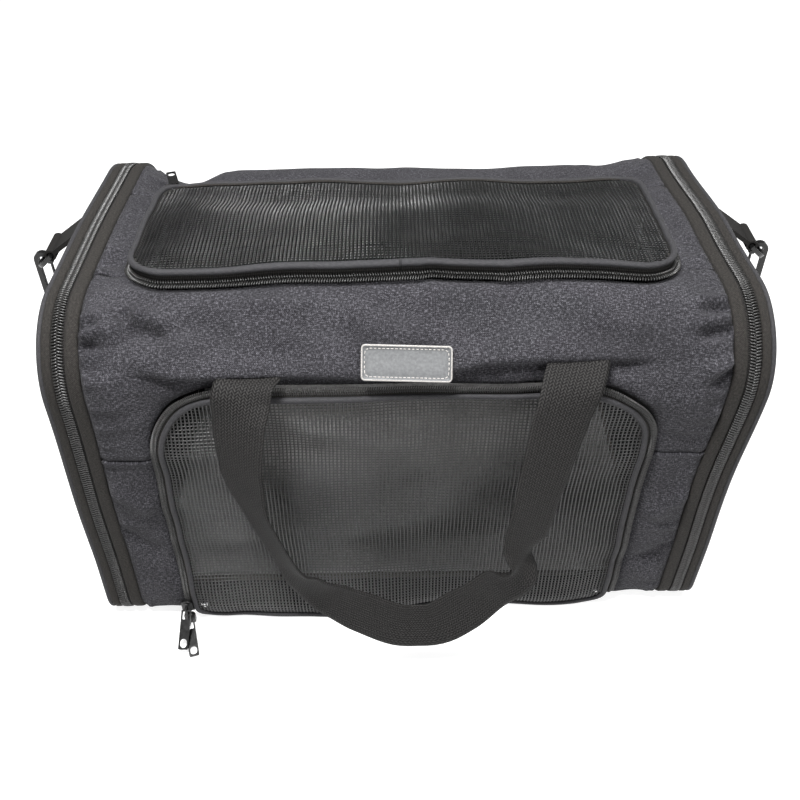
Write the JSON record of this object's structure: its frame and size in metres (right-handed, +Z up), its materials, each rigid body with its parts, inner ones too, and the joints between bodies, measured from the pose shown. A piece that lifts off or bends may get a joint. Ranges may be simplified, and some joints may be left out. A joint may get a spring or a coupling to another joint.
{
  "type": "soft pet carrier bag",
  "caption": "Soft-sided rectangular pet carrier with mesh front and top doors on zips, expandable zipped ends, carry handles and a clip-on shoulder strap.",
  "frame": {"origin": "middle of the flat underside, on the surface the bag stands on", "axes": "+X to the right seen from the front, +Y from the front to the back, +Z up"},
  "size_m": [0.6436, 0.461, 0.2823],
  "materials": {
    "body_fabric": "heathered charcoal polyester oxford, matt",
    "band_fabric": "plain brown-black polyester, matt",
    "mesh_fabric": "open knitted polyester mesh, slightly glossy threads",
    "webbing": "ribbed polyester webbing, 38 mm wide",
    "zip_coil": "black nylon coil teeth, semi-gloss",
    "piping": "woven binding over a cord core",
    "lining": "thin lining fabric",
    "pad_fleece": "light grey fleece",
    "base_board": "stiff board in dark fabric",
    "steel_wire": "drawn spring wire",
    "black_metal": "black enamel, semi-gloss",
    "label_rubber": "moulded grey rubber, matt",
    "buckle_plastic": "black acetal"
  },
  "bodies": {
    "bag": {"bottom_panel": "body_fabric", "front_upper_panel": "body_fabric", "front_lower_right_panel": "body_fabric", "front_lower_left_panel": "body_fabric", "top_left_panel": "body_fabric", "top_right_panel": "body_fabric", "top_back_panel": "body_fabric", "back_panel": "body_fabric", "base_board": "base_board", "front_body_coil": "zip_coil", "top_body_coil": "zip_coil", "label_badge": "label_rubber", "strap_adjuster": "buckle_plastic", "left_inner_band": "band_fabric", "left_body_coil": "zip_coil", "left_end_gusset": "lining", "left_strap": "webbing", "right_inner_band": "band_fabric", "right_body_coil": "zip_coil", "right_end_gusset": "lining", "right_strap": "webbing", "front_lower_slider": "black_metal"},
    "floor_pad": {"floor_pad": "pad_fleece"},
    "front_door": {"front_door_mesh": "mesh_fabric", "front_door_frame": "piping", "front_door_coil": "zip_coil"},
    "top_door": {"top_door_mesh": "mesh_fabric", "top_door_frame": "piping", "top_door_coil": "zip_coil"},
    "front_handle": {"front_handle": "webbing"},
    "back_handle": {"back_handle": "webbing"},
    "front_upper_slider": {"front_upper_slider": "black_metal"},
    "front_upper_pull": {"front_upper_pull": "black_metal"},
    "front_lower_pull": {"front_lower_pull": "black_metal"},
    "top_slider": {"top_slider": "black_metal"},
    "top_pull": {"top_pull": "black_metal"},
    "left_end": {"left_end_panel": "body_fabric", "left_outer_band": "band_fabric", "left_end_piping": "piping", "left_end_coil": "zip_coil", "left_end_hoop": "steel_wire", "left_ring_tab": "webbing", "left_d_ring": "black_metal", "left_snap_hook": "black_metal"},
    "left_hook_gate": {"left_hook_gate": "black_metal"},
    "left_end_slider": {"left_end_slider": "black_metal"},
    "left_end_pull": {"left_end_pull": "black_metal"},
    "right_end": {"right_end_panel": "body_fabric", "right_outer_band": "band_fabric", "right_end_piping": "piping", "right_end_coil": "zip_coil", "right_end_hoop": "steel_wire", "right_ring_tab": "webbing", "right_d_ring": "black_metal", "right_snap_hook": "black_metal"},
    "right_hook_gate": {"right_hook_gate": "black_metal"},
    "right_end_slider": {"right_end_slider": "black_metal"},
    "right_end_pull": {"right_end_pull": "black_metal"}
  },
  "joints": [
    {"name": "front_door_open", "type": "hinge", "parent": "bag", "child": "front_door", "pos_m": [0, -0.14, 0.011], "axis": [1, 0, 0], "range_deg": [0, 90], "deforming": ["front_handle"]},
    {"name": "top_door_open", "type": "hinge", "parent": "bag", "child": "top_door", "pos_m": [0, 0.0463, 0.2742], "axis": [-1, 0, 0], "range_deg": [0, 120]},
    {"name": "front_handle_lift", "type": "hinge", "parent": "bag", "child": "front_handle", "pos_m": [0, -0.135, 0.243], "axis": [-1, 0, 0], "range_deg": [0, 150]},
    {"name": "back_handle_lift", "type": "hinge", "parent": "bag", "child": "back_handle", "pos_m": [0, 0.135, 0.243], "axis": [1, 0, 0], "range_deg": [0, 150]},
    {"name": "floor_pad_lift", "type": "slide", "parent": "bag", "child": "floor_pad", "axis": [0, 0, 1], "range_m": [0, 0.2]},
    {"name": "front_upper_slider_run", "type": "slide", "parent": "bag", "child": "front_upper_slider", "axis": [0, 0, 1], "range_m": [0, 0.13]},
    {"name": "front_upper_pull_flip", "type": "hinge", "parent": "front_upper_slider", "child": "front_upper_pull", "pos_m": [-0.167, -0.1505, 0.02], "axis": [-0.9981, 0.0609, 0], "range_deg": [0, 78]},
    {"name": "front_lower_pull_swing", "type": "hinge", "parent": "bag", "child": "front_lower_pull", "pos_m": [-0.167, -0.1505, 0.0062], "axis": [0, 0, 1], "range_deg": [0, 15]},
    {"name": "top_slider_run", "type": "slide", "parent": "bag", "child": "top_slider", "axis": [0, -1, 0], "range_m": [0, 0.1]},
    {"name": "top_pull_flip", "type": "hinge", "parent": "top_slider", "child": "top_pull", "pos_m": [-0.1725, 0.058, 0.2803], "axis": [0.9536, 0.3011, 0], "range_deg": [0, 110]},
    {"name": "left_end_expand", "type": "slide", "parent": "bag", "child": "left_end", "axis": [-1, 0, 0], "range_m": [0, 0.1], "deforming": ["left_end_gusset", "left_strap"]},
    {"name": "left_end_slider_run", "type": "slide", "parent": "bag", "child": "left_end_slider", "axis": [0, 0, 1], "range_m": [0, 0.13]},
    {"name": "left_end_pull_flip", "type": "hinge", "parent": "left_end_slider", "child": "left_end_pull", "pos_m": [-0.21695, 0.1462, 0.06], "axis": [1, 0, 0], "range_deg": [0, 110]},
    {"name": "left_hook_gate_press", "type": "hinge", "parent": "left_end", "child": "left_hook_gate", "pos_m": [-0.259, 0, 0.2105], "axis": [0, 1, 0], "range_deg": [0, 12], "stiffness_Nm_per_rad": 0.05},
    {"name": "right_end_expand", "type": "slide", "parent": "bag", "child": "right_end", "axis": [1, 0, 0], "range_m": [0, 0.1], "deforming": ["right_end_gusset", "right_strap"]},
    {"name": "right_end_slider_run", "type": "slide", "parent": "bag", "child": "right_end_slider", "axis": [0, 0, 1], "range_m": [0, 0.13]},
    {"name": "right_end_pull_flip", "type": "hinge", "parent": "right_end_slider", "child": "right_end_pull", "pos_m": [0.21695, 0.1462, 0.06], "axis": [1, 0, 0], "range_deg": [0, 110]},
    {"name": "right_hook_gate_press", "type": "hinge", "parent": "right_end", "child": "right_hook_gate", "pos_m": [0.259, 0, 0.2105], "axis": [0, -1, 0], "range_deg": [0, 12], "stiffness_Nm_per_rad": 0.05}
  ]
}
